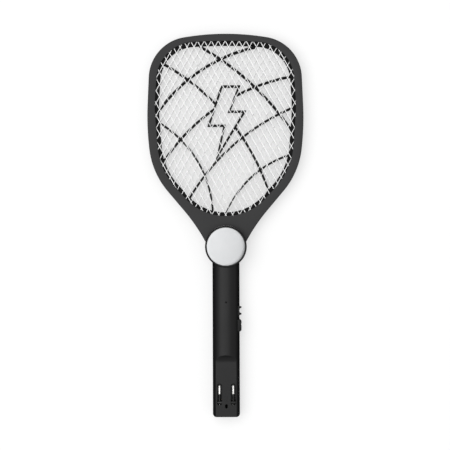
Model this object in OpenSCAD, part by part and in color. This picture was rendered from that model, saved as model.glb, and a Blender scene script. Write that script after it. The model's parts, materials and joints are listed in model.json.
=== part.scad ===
// Rechargeable electric fly swatter: a racket-shaped head with an expanded-metal net on each
// side of a charged grid, on a two-shell handle that holds the cells, the high-voltage board
// and a mains plug that folds out of the butt end.
//
// The racket lies on its back. X runs across it, Y runs from the butt end to the top of the
// head, and Z comes out of the front face. Inside the modules Y is measured from the butt end,
// and from_butt() moves each finished piece so that the origin is under the racket's middle.

/* [Head] */
// Length of the whole racket, butt end to head top
racket_l = 530; // [527:0.5:533]
// Width of the head at its widest
head_w = 216; // [214:0.5:219]
// Thickness of the head frame
head_t = 22; // [22:0.1:23]
// Wall thickness of the head frame halves
frame_wall = 2.4; // [2.2:0.1:2.6]
// Thickness of the lip over the edge of the net
lip_t = 2; // [1.8:0.1:2.1]
// Half-width of the neck where it meets the hub
neck_half_w = 27; // [26:0.5:28]

/* [Net] */
// Width of one diamond of the net
diamond_w = 9.6; // [9:0.1:11]
// Height of one diamond of the net
diamond_h = 17.2; // [16:0.1:19]
// Width of a strand of the net
strand_w = 0.9; // [0.8:0.1:1.2]
// Thickness of the two outer nets
net_t = 0.6; // [0.4:0.1:0.7]
// Thickness of the charged grid between them
grid_t = 0.8; // [0.6:0.1:0.8]

/* [Guard] */
// How far the guard ring reaches in past the edge of the lip
ring_reach = 5; // [4.8:0.1:6]
// Width of a guard rib
rib_w = 2.6; // [2.2:0.1:2.8]
// Depth of a guard rib
rib_depth = 3.2; // [2.5:0.1:4]
// Thickness of the guard ring's flange
flange_t = 1.6; // [1.2:0.1:2]

/* [Handle] */
// Width of the handle
handle_w = 37.4; // [37.2:0.1:38.4]
// Thickness of the handle from its back to its crown
handle_t = 31; // [31:0.1:32]
// Wall thickness of the handle shells
shell_wall = 2.2; // [2:0.1:2.3]
// Height of the flat plug area above the back
plug_flat_z = 26.5; // [26.5:0.1:27]
// Length of the flat plug area from the butt end
plug_flat_l = 75; // [72:0.5:80]
// Radius of the thumb scoop that joins the plug area to the crown
scoop_r = 14; // [12:0.5:18]

/* [Hub] */
// Distance of the hub's centre from the butt end
hub_y = 235.5; // [235:0.5:237]
// Radius of the hub
hub_r = 28.7; // [28.5:0.1:29.2]
// Height of the hub's top plate above the back
hub_t = 31.5; // [31.5:0.1:32.5]
// Radius of the metal badge disc
badge_r = 26.5; // [25:0.1:26.6]

/* [Plug] */
// Diameter of a plug pin
pin_d = 4; // [3.9:0.05:4.1]
// Distance between the two pins
pin_pitch = 19; // [18.6:0.1:19.2]
// Distance of the plug's hinge from the butt end
plug_hinge_y = 19.5; // [19.3:0.1:20]
// Height of the plug's hinge above the back
plug_hinge_z = 21.2; // [21:0.1:21.2]

/* [Controls] */
// Travel of the power slide
slide_travel = 3.5; // [2:0.1:3.5]
// Travel of the zap button
button_travel = 1.8; // [1:0.1:1.8]

/* [Cells] */
// Diameter of a cell
cell_d = 14.5; // [14:0.1:14.5]
// Length of a cell
cell_l = 50.5; // [48:0.1:50.5]

/* [Hidden] */

$fn = 48;
eps = 0.01;              // cutters run this far past a face
far = 60;                // length of a cutter that only has to be long enough
gap = 0.1;               // clearance between two fixed pieces
hole_gap = 0.05;         // radial clearance of a screw or a hinge journal in its hole

head_half_w = head_w / 2;
head_mid_z = head_t / 2; // the charged grid lies on this plane
handle_half_w = handle_w / 2;
part_z = 15.5;           // parting plane of the handle shells
section_power = 2.3;     // roundness of the handle: 2 is an ellipse, more is squarer
back_bulge = 2;          // the back is an arc cut off flat this far above its lowest point
butt_cut = 2.6;          // size of the cut corners at the butt end
arc_steps = 10;          // straight steps in one rounded corner of an outline
section_steps = 60;      // straight steps round the handle's section

neck_end_y = 240;        // the frame's outline ends here, inside the hub's clearance
sheet_margin = 5;        // how far nets and guards run out under the lip
seat_wall = 2.2;         // wall round the pocket that holds nets and guards
net_h = head_mid_z - lip_t - gap - net_t;    // bottom of a net above the mid-plane
guard_h = net_h - gap;                       // outer face of a guard above the mid-plane
guard_foot_h = grid_t / 2 + gap;             // inner face of a guard above the mid-plane
tang_half_w = 19;        // the tang is the part of the frame that goes into the hub
tang_y = 219.5;
tang_h = 8.6;            // top of the tang above the mid-plane
tang_wall = 2;
neck_pocket_y = 266;     // the neck is deeper than the tang from here on
tab_y = 267.2;           // end of the solder tabs of nets and grid
net_tab_top_y = 274;     // each tab runs up to the border of its sheet
grid_tab_top_y = 282;
tab_w = 4;
tab_x = 8;               // the nets' tabs are left and right of the grid's

main_board_z = 8;
board_t = 1.6;
main_board_y0 = 119;
main_board_y1 = 201;
main_board_half_w = 14.3;
charger_board_z = 7;
charger_board_y0 = 12;
charger_board_y1 = 54;
charger_board_half_w = 12.5;
main_top = main_board_z + board_t;
charger_top = charger_board_z + board_t;

handle_screw_spots = [[-11, 6.5], [11, 6.5], [0, 113.8], [0, 206], [-12, 226], [12, 226]];
handle_boss_r = 3.4;
screw_r = 1.3;
screw_head_r = 2.5;
screw_head_h = 1.9;
screw_seat_z = 9;
screw_l = 12;
frame_screw_spots = [[-26, 272], [26, 272]];
frame_screw_r = 1.1;
frame_screw_seat_z = 3;
frame_screw_l = 14;
board_screw_spots = [[-10.5, 123], [10.5, 197]];
board_screw_r = 1;
charger_post_spots = [[-9, 50.5], [9, 50.5], [-9, 25], [9, 25]];

cell_x = 7.45;
cell_y0 = 58;
cradle_ys = [62, 83, 104];
charge_lead_x = 12.2;    // the charge leads run beside the cells, near the back
charge_lead_z = 6.2;

carrier_r = 3;
carrier_half_l = 12.8;
journal_r = 2;
journal_end = 15;
ear_x0 = 13;
ear_x1 = 15.2;
pin_r = pin_d / 2;
pin_neck_r = 1.4;
pin_sleeve_r = 1.8;
pin_tail = 4.85;         // tail of a pin behind the hinge
pin_sleeve_end = 12;     // the insulating sleeve ends this far from the hinge
pin_tip = 24.6;          // the pin ends this far from the hinge
pin_slot_w = 6.5;
pin_slot_y1 = 46.2;
arrow_depth = 0.5;
pocket_y0 = 23.2;        // the trays under the pin slots start behind the carrier
pocket_floor_z = 17.3;   // underside of the trays
pocket_wall = 1;
charge_window_w = 3.2;
charge_window_y0 = 12.2;
charge_window_y1 = 17.8;
power_light_y = 158.7;

control_x = 14.5;        // inner face of the knob and the button
control_cut_x = 11.5;    // the openings for them are cut from here outwards
control_gap = 0.3;       // gap round the knob and the button
knob_y0 = 140.3;
knob_y1 = 153.4;
knob_z = [12.5, 24];
knob_face_x = 19.1;
ridge_x = 21.3;
ridge_w = 2.2;
button_y0 = 117.7;
button_y1 = 134.8;
button_z = [11.5, 24.5];
button_x = 21.3;
control_centre_z = 17.5;
switch_top_z = 21;       // both switches stand this high above the back

// ---------------------------------------------------------------- outlines

function unit(v) = v / norm(v);

// The arc that rounds one corner [x, y, radius] of an outline between its two neighbours.
function corner_arc(before, corner, after) =
    let (
        tip = [corner.x, corner.y],
        to_before = unit([before.x, before.y] - tip),
        to_after = unit([after.x, after.y] - tip),
        half_angle = acos(to_before * to_after) / 2,
        centre = tip + unit(to_before + to_after) * corner.z / sin(half_angle),
        first = tip + to_before * corner.z / tan(half_angle) - centre,
        start = atan2(first.y, first.x),
        side = cross(to_before, to_after) > 0 ? -1 : 1,
        turn = side * (180 - 2 * half_angle)
    )
    [for (i = [0:arc_steps]) centre + corner.z * [cos(start + turn * i / arc_steps),
                                                  sin(start + turn * i / arc_steps)]];

// A closed outline with every corner rounded.
function rounded(corners) =
    let (n = len(corners))
    [for (i = [0:n - 1]) each corner_arc(corners[(i + n - 1) % n], corners[i], corners[(i + 1) % n])];

// The right half of an outline, top to bottom, together with its mirror image.
function both_sides(half) =
    concat(half, [for (i = [len(half) - 1:-1:0]) if (half[i].x > 0) [-half[i].x, half[i].y, half[i].z]]);

// Head frame: a gently crowned top, round shoulders, bowed sides and a hollow taper to the neck.
head_outline = rounded(both_sides([
    [0, racket_l + 4.1, 340],
    [head_half_w - 4.2, racket_l - 12, 58],
    [head_half_w + 1, 403, 390],
    [head_half_w - 6.1, 338, 110],
    [neck_half_w + 14.3, 266, 250],
    [neck_half_w, neck_end_y, 0.1],
]));

// Opening in the lip, through which the net shows.
opening_outline = rounded(both_sides([
    [0, racket_l - 8.4, 700],
    [head_half_w - 15.6, racket_l - 14.3, 54],
    [head_half_w - 10, 428.5, 194],
    [head_half_w - 16.5, 342, 96],
    [0, 241.5, 75],
]));

module head_shape(grow = 0) offset(delta = grow) polygon(head_outline);
module opening_shape(grow = 0) offset(delta = grow) polygon(opening_outline);

// Circle through three points, as [centre x, centre y, radius].
function circle_through(a, b, c) =
    let (
        ab = b - a,
        ac = c - a,
        d = 2 * cross(ab, ac),
        u = [ac.y * ab * ab - ab.y * ac * ac, ab.x * ac * ac - ac.x * ab * ab] / d
    )
    [a.x + u.x, a.y + u.y, norm(u)];

function power_of(v, p) = sign(v) * pow(abs(v), p);

// Section of the handle across X and Z: a squared-off ellipse, fuller at the back.
function handle_section(inset) =
    [for (i = [0:section_steps - 1])
        let (
            t = 360 * i / section_steps,
            half_t = t <= 180 ? handle_t - part_z : part_z + back_bulge
        )
        [(handle_half_w - inset) * power_of(cos(t), 2 / section_power),
         part_z + (half_t - inset) * power_of(sin(t), 2 / section_power)]];

// ---------------------------------------------------------------- helpers

module from_butt() translate([0, -racket_l / 2, 0]) children();

// A box from one corner to the opposite one.
module box(low, high) translate(low) cube(high - low);

module at_each(spots) for (s = spots) translate([s.x, s.y, 0]) children();

module both_x() for (side = [-1, 1]) scale([side, 1, 1]) children();

// A vertical slot with round ends, along Y.
module slot(w, y0, y1, z0, z1) {
    translate([-w / 2, y0 + w / 2, z0]) cube([w, y1 - y0 - w, z1 - z0]);
    for (y = [y0 + w / 2, y1 - w / 2]) translate([0, y, z0]) cylinder(r = w / 2, h = z1 - z0);
}

// A cylinder along X, or along Y.
module rod_x(r, x0, x1) translate([x0, 0, 0]) rotate([0, 90, 0]) cylinder(r = r, h = x1 - x0);
module rod_y(r, y0, y1) translate([0, y0, 0]) rotate([-90, 0, 0]) cylinder(r = r, h = y1 - y0);

// An insulated wire along a list of points: eight-sided lengths that run into each other.
module wire(points, r) for (i = [0:len(points) - 2]) {
    step = points[i + 1] - points[i];
    before = i == 0 ? 0 : 0.8 * r;
    after = i == len(points) - 2 ? 0 : 0.8 * r;
    translate(points[i]) rotate([0, acos(step.z / norm(step)), atan2(step.y, step.x)])
        translate([0, 0, -before]) cylinder(r = r, h = norm(step) + before + after, $fn = 8);
}

// A round screw, point up, with a cross recess in its head.
module screw(r, l, head_r, head_h) {
    recess = 0.45 * head_h;
    cylinder(r = r, h = l);
    difference() {
        translate([0, 0, -head_h]) cylinder(r = head_r, h = head_h);
        for (turn = [0, 90]) rotate([0, 0, turn])
            box([-0.3 * head_r - 0.6, -0.3, -head_h - eps], [0.3 * head_r + 0.6, 0.3, -head_h + recess]);
    }
}

// ---------------------------------------------------------------- head

// Everything in the head is built from the mid-plane outwards and used twice.
module to_front() translate([0, 0, head_mid_z]) children();
module to_rear() translate([0, 0, head_mid_z]) mirror([0, 0, 1]) children();

// Space that the hub takes out of the frame.
module hub_clearance() translate([0, hub_y, -far / 2]) cylinder(r = hub_r + gap, h = far);

// Hollow of the neck, where the leads run, behind the wall that holds the nets.
module neck_hollow() difference() {
    translate([0, 0, -eps]) linear_extrude(head_mid_z - lip_t + eps) difference() {
        intersection() {
            head_shape(-frame_wall);
            translate([-far, 230]) square([2 * far, 62]);
        }
        opening_shape(sheet_margin + gap + seat_wall);
        translate([0, hub_y]) circle(r = hub_r + gap + frame_wall);
    }
    box([-tang_half_w, 220, tang_h - tang_wall], [tang_half_w, neck_pocket_y, far]);
}

module tang_block() box([-tang_half_w, tang_y, 0], [tang_half_w, neck_pocket_y - 4, tang_h]);
module tang_hollow()
    box([-tang_half_w + tang_wall, tang_y - eps, -eps],
        [tang_half_w - tang_wall, neck_pocket_y + 1.5, tang_h - tang_wall]);

// Slots through the seat wall for the solder tabs of the nets and the charged grid.
module tab_notches() {
    both_x() box([tab_x - tab_w / 2 - gap, tab_y - 1, net_h - gap],
                 [tab_x + tab_w / 2 + gap, 275, head_mid_z - lip_t]);
    box([-tab_w / 2 - gap, tab_y - 1, -eps], [tab_w / 2 + gap, 275, guard_foot_h]);
}

module frame_half() {
    difference() {
        union() {
            difference() {
                linear_extrude(head_mid_z) head_shape();
                hub_clearance();
            }
            tang_block();
        }
        translate([0, 0, -eps]) linear_extrude(far) opening_shape();
        translate([0, 0, -eps])
            linear_extrude(head_mid_z - lip_t + eps) opening_shape(sheet_margin + gap);
        neck_hollow();
        tang_hollow();
        tab_notches();
        at_each(handle_screw_spots) translate([0, 0, -eps]) cylinder(r = handle_boss_r + 0.3, h = far);
    }
}

// Tongue of the rear frame, or the groove for it in the front one.
module rim_tongue(play) difference() {
    translate([0, 0, -eps]) linear_extrude(1 + play) difference() {
        head_shape(-0.8 + play);
        head_shape(-1.6 - play);
    }
    hub_clearance();
}

module frame_boss() cylinder(r = 3, h = head_mid_z - 1);

module front_frame() from_butt() color("#464646") to_front() difference() {
    union() {
        frame_half();
        at_each(frame_screw_spots) frame_boss();
    }
    rim_tongue(gap);
    at_each(frame_screw_spots) translate([0, 0, -eps])
        cylinder(r = frame_screw_r + hole_gap, h = 6.5);
}

module rear_frame() from_butt() color("#464646") difference() {
    union() {
        to_rear() {
            frame_half();
            at_each(frame_screw_spots) frame_boss();
        }
        to_front() rim_tongue(0);
    }
    at_each(frame_screw_spots) {
        translate([0, 0, -eps]) cylinder(r = screw_head_r + gap, h = frame_screw_seat_z + eps);
        cylinder(r = frame_screw_r + hole_gap, h = far);
    }
}

module frame_screws() from_butt() color("silver") at_each(frame_screw_spots)
    translate([0, 0, frame_screw_seat_z]) screw(frame_screw_r, frame_screw_l, screw_head_r, screw_head_h);

// Diamond-shaped holes of expanded metal, each a little smaller than its cell.
module diamonds() {
    a = diamond_w / 2;
    b = diamond_h / 2;
    edge_d = a * b / norm([a, b]);
    shrink = (edge_d - strand_w / 2) / edge_d;
    columns = ceil(head_half_w / a);
    rows = ceil(racket_l / 4 / b);
    for (i = [-columns:columns], j = [-rows:rows]) if ((i + j) % 2 == 0)
        translate([i * a, racket_l - 9.5 + (j - rows + 1) * b])
            polygon(shrink * [[a, 0], [0, b], [-a, 0], [0, -b]]);
}

// A sheet of expanded metal with a plain border.
module expanded_sheet(t, border) linear_extrude(t) difference() {
    opening_shape(border);
    intersection() {
        opening_shape(border - 1.4);
        diamonds();
    }
}

module net_sheet(tab_side) {
    expanded_sheet(net_t, sheet_margin - 0.3);
    box([tab_side * tab_x - tab_w / 2, tab_y, 0], [tab_side * tab_x + tab_w / 2, net_tab_top_y, net_t]);
}

module front_net() from_butt() color("gainsboro") to_front() translate([0, 0, net_h]) net_sheet(-1);
module rear_net() from_butt() color("gainsboro") to_rear() translate([0, 0, net_h]) net_sheet(1);

module charged_grid() from_butt() color("silver") translate([0, 0, head_mid_z - grid_t / 2]) {
    expanded_sheet(grid_t, -ring_reach + 4);
    box([-tab_w / 2, tab_y, 0], [tab_w / 2, grid_tab_top_y, grid_t]);
}

// Guard ribs: each is an arc through its two ends and a point between them, [x, y from the butt].
guard_ribs = [
    [[-33, 512], [23, 473], [92, 396]],
    [[41, 512], [-33, 481], [-91, 426]],
    [[-87, 490], [-44, 461], [59, 314]],
    [[-93, 408], [-42, 359], [-18, 285]],
    [[-87, 352], [-20, 423], [90, 471]],
    [[89, 426], [5, 371], [-50, 303]],
    [[88, 362], [34, 330], [1, 282]],
];
rib_overrun = 3;         // the ribs run this far on into the guard ring

// Upright zigzag in the middle of the guard, as a plain high-voltage sign.
bolt_outline = [[-6, 459], [21, 459], [7, 424], [29, 424], [-14, 354], [-3, 402], [-25, 402]];

module rib(points) {
    c = circle_through(points[0], points[1], points[2]);
    centre = [c.x, c.y];
    angles = [for (p = points) atan2(p.y - centre.y, p.x - centre.x)];
    first_turn = angles[1] - angles[0];
    way = sign(first_turn - 360 * round(first_turn / 360));
    sweep = way * ((way * (angles[2] - angles[0]) % 360 + 360) % 360);
    over = way * rib_overrun / c.z * 180 / PI;
    steps = 14;
    path = [for (i = [0:steps]) angles[0] - over + (sweep + 2 * over) * i / steps];
    polygon(concat(
        [for (a = path) centre + (c.z - rib_w / 2) * [cos(a), sin(a)]],
        [for (i = [steps:-1:0]) centre + (c.z + rib_w / 2) * [cos(path[i]), sin(path[i])]]
    ));
}

module rib_pattern() {
    difference() {
        union() for (points = guard_ribs) rib(points);
        polygon(bolt_outline);
    }
    difference() {
        polygon(bolt_outline);
        offset(delta = -rib_w) polygon(bolt_outline);
    }
}

module guard_wall(outer, inner) translate([0, 0, guard_foot_h]) linear_extrude(guard_h - guard_foot_h)
    difference() {
        opening_shape(outer);
        opening_shape(inner);
    }

module guard_half() {
    translate([0, 0, guard_h - flange_t]) linear_extrude(flange_t) difference() {
        opening_shape(sheet_margin);
        opening_shape(-ring_reach);
    }
    guard_wall(sheet_margin, sheet_margin - 2);
    guard_wall(-ring_reach + 2, -ring_reach);
    translate([0, 0, guard_h - rib_depth]) linear_extrude(rib_depth) rib_pattern();
}

module front_guard() from_butt() color("#161616") to_front() guard_half();
module rear_guard() from_butt() color("#161616") to_rear() guard_half();

// ---------------------------------------------------------------- handle

// Cutter for the flat plug area and the round scoop up to the crown.
module thumb_scoop(grow) {
    box([-far, -far, plug_flat_z - grow], [far, plug_flat_l, far]);
    translate([0, plug_flat_l, plug_flat_z + scoop_r]) rod_x(scoop_r + grow, -far, far);
}

module handle_block(inset = 0) difference() {
    intersection() {
        translate([0, hub_y, 0]) rotate([90, 0, 0])
            linear_extrude(hub_y - inset) polygon(handle_section(inset));
        translate([0, 0, inset]) linear_extrude(far) polygon([
            [-handle_half_w - 2, butt_cut + 2 + inset], [butt_cut - handle_half_w, inset],
            [handle_half_w - butt_cut, inset], [handle_half_w + 2, butt_cut + 2 + inset],
            [handle_half_w + 2, hub_y], [-handle_half_w - 2, hub_y]
        ]);
    }
    thumb_scoop(inset);
}

module hub_block(inset = 0) translate([0, hub_y, 0]) rotate_extrude() polygon([
    [0, inset], [hub_r - 1.5 - inset, inset], [hub_r - inset, 1.5 + inset],
    [hub_r - inset, hub_t - inset], [0, hub_t - inset]
]);

module handle_cavity() {
    handle_block(shell_wall);
    hub_block(shell_wall);
}

// Way into the hub for the frame's tang.
module tang_slot() box([-tang_half_w - gap, hub_y, head_mid_z - tang_h - gap],
                       [tang_half_w + gap, hub_y + hub_r + 1, head_mid_z + tang_h + gap]);

// Openings in the right-hand wall for the knob and the button.
module control_openings() {
    box([control_cut_x, knob_y0 - slide_travel - 0.2, knob_z[0] - control_gap],
        [far, knob_y1 + 0.2, knob_z[1] + control_gap]);
    box([control_cut_x, button_y0 - control_gap, button_z[0] - control_gap],
        [far, button_y1 + control_gap, button_z[1] + control_gap]);
}

module handle_outside() {
    handle_block();
    hub_block();
}

module handle_skin() difference() {
    handle_outside();
    handle_cavity();
    tang_slot();
    control_openings();
}

// Ribs that hold the two cells side by side, notched for the charge leads.
module cell_cradles() intersection() {
    difference() {
        for (y = cradle_ys) translate([-far / 2, y, 0]) cube([far, 1.6, far]);
        both_x() {
            translate([cell_x, 0, part_z]) rod_y(cell_d / 2 + gap, 50, 120);
            translate([charge_lead_x, 0, charge_lead_z]) rod_y(1.2, 50, 120);
        }
    }
    handle_block(shell_wall - 0.4);
}

module upper_half() box([-far, -far, part_z], [far, 300, far]);
module lower_half() box([-far, -far, -far], [far, 300, part_z]);

// Bearing ears for the plug's hinge, hanging from the plug area.
module plug_ears() both_x() box([ear_x0, plug_hinge_y - 4, plug_hinge_z - 4],
                              [ear_x1, plug_hinge_y + 4, plug_flat_z - shell_wall + 0.3]);
module plug_bearing() translate([0, plug_hinge_y, plug_hinge_z])
    rod_x(journal_r + hole_gap, -journal_end - 0.2, journal_end + 0.2);

module front_boss(spot) {
    top = spot.y < plug_flat_l ? plug_flat_z - 1 : handle_t - 1;
    translate([spot.x, spot.y, part_z]) cylinder(r = 3, h = top - part_z);
}

// Closed trays under the pin slots, so that nothing inside can be touched past a folded pin.
module pin_pockets() both_x() translate([pin_pitch / 2, 0, pocket_floor_z]) {
    half_w = pin_slot_w / 2 + 0.3;
    end_y = pin_slot_y1 + 0.2;
    difference() {
        box([-half_w - pocket_wall, pocket_y0, 0],
            [half_w + pocket_wall, end_y + pocket_wall, plug_flat_z - shell_wall + 0.3 - pocket_floor_z]);
        box([-half_w, pocket_y0 - 1, pocket_wall], [half_w, end_y, far]);
    }
}

// Two sunk arrows between the pin slots: fold the plug out this way.
module fold_arrows() for (y = [21.4, 26]) translate([0, y, plug_flat_z - arrow_depth])
    linear_extrude(far) polygon([[-2.4, 1.4], [0, 0], [2.4, 1.4], [2.4, 2.8], [0, 1.4], [-2.4, 2.8]]);

module front_handle_shell() from_butt() color("#2b2b2b") difference() {
    union() {
        intersection() {
            union() {
                handle_skin();
                cell_cradles();
            }
            upper_half();
        }
        for (spot = handle_screw_spots) front_boss(spot);
        plug_ears();
        pin_pockets();
        box([-3.5, 24.5, plug_hinge_z - carrier_r - gap], [3.5, 28, plug_flat_z - 1]);
    }
    plug_bearing();
    fold_arrows();
    both_x() translate([pin_pitch / 2, 0, 0])
        slot(pin_slot_w, plug_hinge_y - 3.1, pin_slot_y1, plug_flat_z - shell_wall - 1, far);
    slot(charge_window_w, charge_window_y0, charge_window_y1, plug_flat_z - shell_wall - 1, far);
    translate([0, power_light_y, part_z]) cylinder(r = 1, h = far);
    at_each(handle_screw_spots) translate([0, 0, part_z - eps])
        cylinder(r = screw_r + hole_gap, h = 7);
}

module rear_handle_shell() from_butt() color("#262626") difference() {
    union() {
        intersection() {
            union() {
                handle_skin();
                cell_cradles();
            }
            lower_half();
        }
        intersection() {
            union() {
                at_each(handle_screw_spots) cylinder(r = handle_boss_r, h = part_z);
                at_each(board_screw_spots) cylinder(r = 2.4, h = main_board_z);
                at_each(charger_post_spots) cylinder(r = 1.8, h = charger_board_z);
            }
            handle_outside();
        }
    }
    at_each(handle_screw_spots) {
        translate([0, 0, -eps]) cylinder(r = screw_head_r + gap, h = screw_seat_z + eps);
        cylinder(r = screw_r + hole_gap, h = far);
    }
    at_each(board_screw_spots) translate([0, 0, shell_wall + 0.8])
        cylinder(r = board_screw_r + hole_gap, h = far);
}

module handle_screws() from_butt() color("silver") at_each(handle_screw_spots)
    translate([0, 0, screw_seat_z]) screw(screw_r, screw_l, screw_head_r, screw_head_h);

// Black ring round the badge, with a chamfered outer edge.
module badge_bezel() from_butt() color("#111111") translate([0, hub_y, hub_t]) rotate_extrude()
    polygon([
        [badge_r + gap, 0], [hub_r, 0], [hub_r, 1.4], [hub_r - 0.9, 2.3], [badge_r + gap, 2.3]
    ]);

// Plain metal disc, very slightly crowned, with no mark on it.
module badge_disc() from_butt() color("lightgray") translate([0, hub_y, hub_t]) rotate_extrude() polygon(
    concat([[0, 0], [badge_r, 0], [badge_r, 1.4]],
           [for (i = [5:-1:0]) [(badge_r - 0.5) * i / 5, 1.9 + 0.6 * (1 - pow(i / 5, 2))]])
);

// ---------------------------------------------------------------- controls

module power_slide_knob() from_butt() color("#1c1c1c") difference() {
    union() {
        box([control_x, knob_y0, knob_z[0]], [knob_face_x, knob_y1, knob_z[1]]);
        for (y = [knob_y0 + 0.9, knob_y1 - 0.9 - ridge_w])
            box([control_x + 1, y, knob_z[0] + 0.5], [ridge_x, y + ridge_w, knob_z[1] - 0.5]);
    }
    // Recess between the ridges for the fingertip.
    translate([knob_face_x + 3.4, (knob_y0 + knob_y1) / 2, knob_z[0] - 1])
        cylinder(r = 4.1, h = knob_z[1] - knob_z[0] + 2);
}

slide_mid_y = (knob_y0 + knob_y1) / 2;

module power_switch_peg() from_butt() color("ivory")
    box([9.5, slide_mid_y - 1, control_centre_z - 1], [control_x, slide_mid_y + 1, control_centre_z + 1]);

module power_switch_body() from_butt() color("#8a8d90") difference() {
    box([6.5, 138.5, main_top], [12.2, 152, switch_top_z]);
    box([9, slide_mid_y - slide_travel - 1.3, control_centre_z - 1.3],
        [13, slide_mid_y + 1.3, control_centre_z + 1.3]);
}

// Push button with two rounded lobes and a shallow dip between them.
module zap_button_cap() from_butt() color("#1c1c1c") translate([0, 0, button_z[0]])
    linear_extrude(button_z[1] - button_z[0]) polygon(rounded([
        [control_x, button_y0, 0.4], [button_x, button_y0, 3.6], [button_x, 126.4, 2.4],
        [button_x - 0.9, 127.8, 1.4], [button_x, 129.2, 2.4], [button_x, button_y1, 3.4],
        [control_x, button_y1, 0.4]
    ]));

zap_mid_y = (button_y0 + button_y1) / 2;

module zap_switch_plunger() from_butt() color("ivory")
    box([9, zap_mid_y - 1.5, control_centre_z - 1.5], [control_x, zap_mid_y + 1.5, control_centre_z + 1.5]);

module zap_switch_body() from_butt() color("#303030") difference() {
    box([5.5, 120.5, main_top], [11.5, 132, switch_top_z]);
    box([9 - button_travel - 0.2, zap_mid_y - 1.8, control_centre_z - 1.8],
        [12, zap_mid_y + 1.8, control_centre_z + 1.8]);
}

// ---------------------------------------------------------------- folding plug

module at_hinge() translate([0, plug_hinge_y, plug_hinge_z]) children();
module at_pins() at_hinge() for (side = [-1, 1]) translate([side * pin_pitch / 2, 0, 0]) children();

module plug_carrier() from_butt() color("#1a1a1a") difference() {
    at_hinge() {
        rod_x(carrier_r, -carrier_half_l, carrier_half_l);
        rod_x(journal_r, -journal_end, journal_end);
    }
    at_pins() rod_y(pin_neck_r + 0.02, -far, far);
}

// Round pin with a thinner neck through the carrier, a domed tip and a domed tail.
module plug_pins() from_butt() color("whitesmoke") at_pins() rotate([-90, 0, 0]) rotate_extrude() polygon(
    concat(
        [for (a = [-90:15:0]) [pin_neck_r * cos(a), pin_neck_r - pin_tail + pin_neck_r * sin(a)]],
        [[pin_neck_r, pin_sleeve_end], [pin_r, pin_sleeve_end]],
        [for (a = [0:15:90]) [pin_r * cos(a), pin_tip - pin_r + pin_r * sin(a)]]
    ));

module pin_sleeves() from_butt() color("#121212") at_pins() rotate([-90, 0, 0])
    translate([0, 0, carrier_r + 0.1]) difference() {
        cylinder(r = pin_sleeve_r, h = pin_sleeve_end - carrier_r - 0.1);
        translate([0, 0, -1]) cylinder(r = pin_neck_r + 0.02, h = far);
    }

// Spring leaves that the pins' tails rest on when the plug is folded out.
contact_z = plug_hinge_z - pin_tail - 0.05;
module plug_contacts() from_butt() color("#c9a24b") at_each([[-pin_pitch / 2, 0], [pin_pitch / 2, 0]]) {
    box([-2, plug_hinge_y - 2, contact_z - 0.4], [2, plug_hinge_y + 3, contact_z]);
    box([-2, plug_hinge_y + 2.6, charger_top], [2, plug_hinge_y + 3, contact_z - 0.4 + eps]);
}

module plug_detent_spring() from_butt() color("silver")
    box([-3, plug_hinge_y - 4, plug_hinge_z - carrier_r - gap - 0.5],
        [3, 28, plug_hinge_z - carrier_r - gap]);

// ---------------------------------------------------------------- electronics

lead_wire_r = 0.35;
diode_r = 1.35;
diode_l = 5.2;
diode_lift = 2;          // height of a diode's axis above its board
resistor_r = 1.2;
resistor_l = 6.3;
resistor_lift = 1.9;
axial_row_x = -8.6;      // the main board's diodes and resistors stand in one row

// A part with a body and a wire lead at each end, along X, standing on a board.
module axial_part(r, l, span, lift) {
    translate([0, 0, lift]) {
        rod_x(r, -l / 2, l / 2);
        rod_x(lead_wire_r, -span / 2, span / 2, $fn = 16);
    }
    for (side = [-1, 1]) translate([side * (span / 2 - lead_wire_r), 0, 0])
        cylinder(r = lead_wire_r, h = lift, $fn = 16);
}

module led(z0, z1) {
    for (side = [-1, 1]) translate([side * 1.27, 0, 0]) cylinder(r = 0.3, h = z0 + eps, $fn = 16);
    translate([0, 0, z0]) cylinder(r = 1.9, h = 1);
    translate([0, 0, z0]) cylinder(r = 1.5, h = z1 - z0);
}

module charger_board() from_butt() color("#7a5a2e")
    box([-charger_board_half_w, charger_board_y0, charger_board_z],
        [charger_board_half_w, charger_board_y1, charger_top]);

// A block of a size, standing on a board at the middle of its foot.
module standing_block(at, size) translate([at.x - size.x / 2, at.y - size.y / 2, at.z]) cube(size);

module dropper_capacitor() from_butt() color("#b5472f")
    standing_block([0, 46.3, charger_top], [12, 6.5, 8.4]);

module charger_diodes() from_butt() color("#202020")
    at_each([[-6.3, 32], [6.3, 32], [-6.3, 37.5], [6.3, 37.5]])
        translate([0, 0, charger_top]) axial_part(diode_r, diode_l, 10.5, diode_lift);

module charger_resistor() from_butt() color("#d8c39a") translate([0, 27, charger_top])
    axial_part(resistor_r, resistor_l, 11, resistor_lift);

module charge_light_window() from_butt() color("#070707")
    slot(charge_window_w - 2 * gap, charge_window_y0 + gap, charge_window_y1 - gap,
         plug_flat_z - shell_wall + 0.1, plug_flat_z - 0.4);

module charge_led() from_butt() color("#c23a2c") translate([0, 14, charger_top]) led(10, 15);

module cells() from_butt() color("#2f6f4f") both_x() translate([cell_x, cell_y0, part_z]) {
    rod_y(cell_d / 2 - 0.1, 0.4, cell_l - 1.4);
    rod_y(2.8, 0, cell_l);
}

// Welded nickel tabs: one strip joins the two cells, and one tab on each takes a lead.
module cell_tabs() from_butt() color("silver") {
    box([-cell_x - 3, cell_y0 - 0.3, part_z - 2.5], [cell_x + 3, cell_y0, part_z + 2.5]);
    both_x() box([cell_x - 2.5, cell_y0 + cell_l, part_z - 2.5],
                 [cell_x + 2.5, cell_y0 + cell_l + 0.3, part_z + 2.5]);
}

module main_board() from_butt() color("#7a5a2e") difference() {
    box([-main_board_half_w, main_board_y0, main_board_z], [main_board_half_w, main_board_y1, main_top]);
    at_each(board_screw_spots) cylinder(r = board_screw_r + 0.1, h = far);
}

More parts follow.
